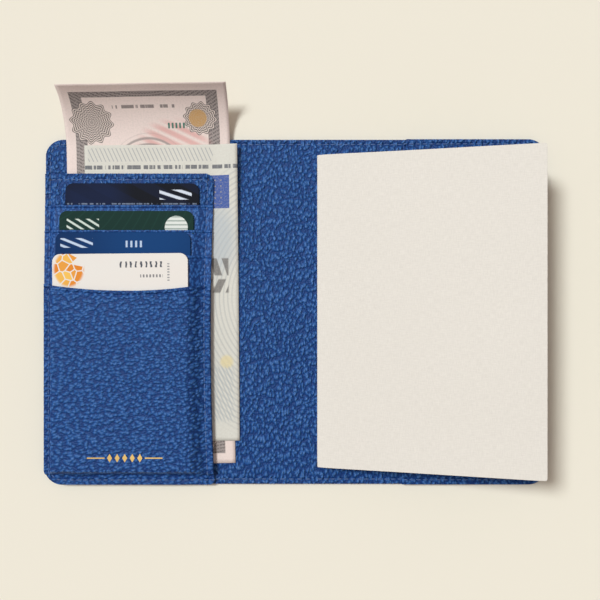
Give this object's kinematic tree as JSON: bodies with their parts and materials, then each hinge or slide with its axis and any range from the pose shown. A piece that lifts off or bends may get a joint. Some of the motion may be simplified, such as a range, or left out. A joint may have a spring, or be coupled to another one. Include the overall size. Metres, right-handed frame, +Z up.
{
  "type": "passport holder",
  "caption": "Bifold leather passport holder lying open, with stepped card slots, banknote compartment and a passport tucked in its side pocket.",
  "frame": {"origin": "middle of the spine on the underside, which rests on the table", "axes": "+X from the card side to the passport side, +Y to the top edge, +Z up out of the open holder"},
  "size_m": [0.203, 0.1593, 0.0296],
  "materials": {
    "leather": "pebbled, semi-matt",
    "board": "matt",
    "thread": "twisted thread",
    "fabric": "plain weave",
    "foil": "pressed gold foil",
    "card_dark": "satin",
    "card_green": "satin",
    "card_blue": "satin",
    "card_white": "satin",
    "note_pink": "matt",
    "note_grey": "matt",
    "booklet_cover": "matt, fine linen grain",
    "booklet_pages": "matt"
  },
  "bodies": {
    "right_cover": {"outer_cover_right": "leather", "stiffener_right": "board", "lining_right": "leather", "perimeter_thread_right": "thread", "passport_pocket": "leather", "passport_pocket_lining": "fabric"},
    "spine": {"outer_cover_spine": "leather", "stiffener_spine": "board", "lining_spine": "leather", "perimeter_thread_spine": "thread"},
    "left_cover": {"outer_cover_left": "leather", "stiffener_left": "board", "lining_left": "leather", "perimeter_thread_left": "thread", "card_panel_lining": "fabric", "card_panel": "leather", "panel_edge_thread": "thread", "slot_strip_1": "leather", "slot_strip_2": "leather", "slot_strip_3": "leather", "slot_tail_1": "fabric", "slot_tail_2": "fabric", "slot_tail_3": "fabric", "slot_tail_thread": "thread", "front_pocket": "leather", "foil_ornament": "foil"},
    "card_1_body": {"card_1": "card_dark"},
    "card_2_body": {"card_2": "card_green"},
    "card_3_body": {"card_3": "card_blue"},
    "card_4_body": {"card_4": "card_white"},
    "large_note_body": {"banknote_large": "note_pink"},
    "small_note_body": {"banknote_small": "note_grey"},
    "passport": {"passport_back_cover": "booklet_cover", "passport_spine": "booklet_cover"},
    "leaves_1": {"passport_pages_1": "booklet_pages"},
    "leaves_2": {"passport_pages_2": "booklet_pages"},
    "leaves_3": {"passport_pages_3": "booklet_pages"},
    "leaves_4": {"passport_pages_4": "booklet_pages"},
    "booklet_front": {"passport_front_cover": "booklet_cover"}
  },
  "joints": [
    {"name": "spine_fold", "type": "hinge", "parent": "right_cover", "child": "spine", "pos_m": [0.0075, 0, 0.001], "axis": [0, 1, 0], "range_deg": [0, 88.5]},
    {"name": "left_fold", "type": "hinge", "parent": "spine", "child": "left_cover", "pos_m": [-0.0075, 0, 0.001], "axis": [0, 1, 0], "range_deg": [0, 88.5]},
    {"name": "card_1_slide", "type": "slide", "parent": "left_cover", "child": "card_1_body", "axis": [0, 1, 0], "range_m": [0, 0.019]},
    {"name": "card_2_slide", "type": "slide", "parent": "left_cover", "child": "card_2_body", "axis": [0, 1, 0], "range_m": [0, 0.034]},
    {"name": "card_3_slide", "type": "slide", "parent": "left_cover", "child": "card_3_body", "axis": [0, 1, 0], "range_m": [0, 0.045]},
    {"name": "card_4_slide", "type": "slide", "parent": "left_cover", "child": "card_4_body", "axis": [0, 1, 0], "range_m": [0, 0.055]},
    {"name": "large_note_slide", "type": "slide", "parent": "left_cover", "child": "large_note_body", "axis": [0, 1, 0], "range_m": [0, 0.11]},
    {"name": "small_note_slide", "type": "slide", "parent": "left_cover", "child": "small_note_body", "axis": [0, 1, 0], "range_m": [0, 0.11]},
    {"name": "passport_slide", "type": "slide", "parent": "right_cover", "child": "passport", "axis": [1, 0, 0], "range_m": [-0.026, 0]},
    {"name": "leaves_1_fan", "type": "hinge", "parent": "passport", "child": "leaves_1", "pos_m": [0.0094, 0, 0.0039], "axis": [0, 1, 0], "range_deg": [0, 3.88]},
    {"name": "leaves_2_fan", "type": "hinge", "parent": "passport", "child": "leaves_2", "pos_m": [0.0094, 0, 0.0039], "axis": [0, 1, 0], "range_deg": [0, 7.75]},
    {"name": "leaves_3_fan", "type": "hinge", "parent": "passport", "child": "leaves_3", "pos_m": [0.0094, 0, 0.0039], "axis": [0, 1, 0], "range_deg": [0, 11.62]},
    {"name": "leaves_4_fan", "type": "hinge", "parent": "passport", "child": "leaves_4", "pos_m": [0.0094, 0, 0.0039], "axis": [0, 1, 0], "range_deg": [0, 15.5]},
    {"name": "booklet_opening", "type": "hinge", "parent": "leaves_4", "child": "booklet_front", "pos_m": [0.00884, 0, 0.00592], "axis": [0, 1, 0], "range_deg": [-140, 0]}
  ],
  "couplings": [
    {"joint": "left_fold", "follows": "spine_fold", "ratio": 1},
    {"joint": "small_note_slide", "follows": "large_note_slide", "ratio": 1},
    {"joint": "leaves_1_fan", "follows": "spine_fold", "ratio": 0.043785},
    {"joint": "leaves_2_fan", "follows": "spine_fold", "ratio": 0.08757},
    {"joint": "leaves_3_fan", "follows": "spine_fold", "ratio": 0.13135},
    {"joint": "leaves_4_fan", "follows": "spine_fold", "ratio": 0.17514}
  ]
}
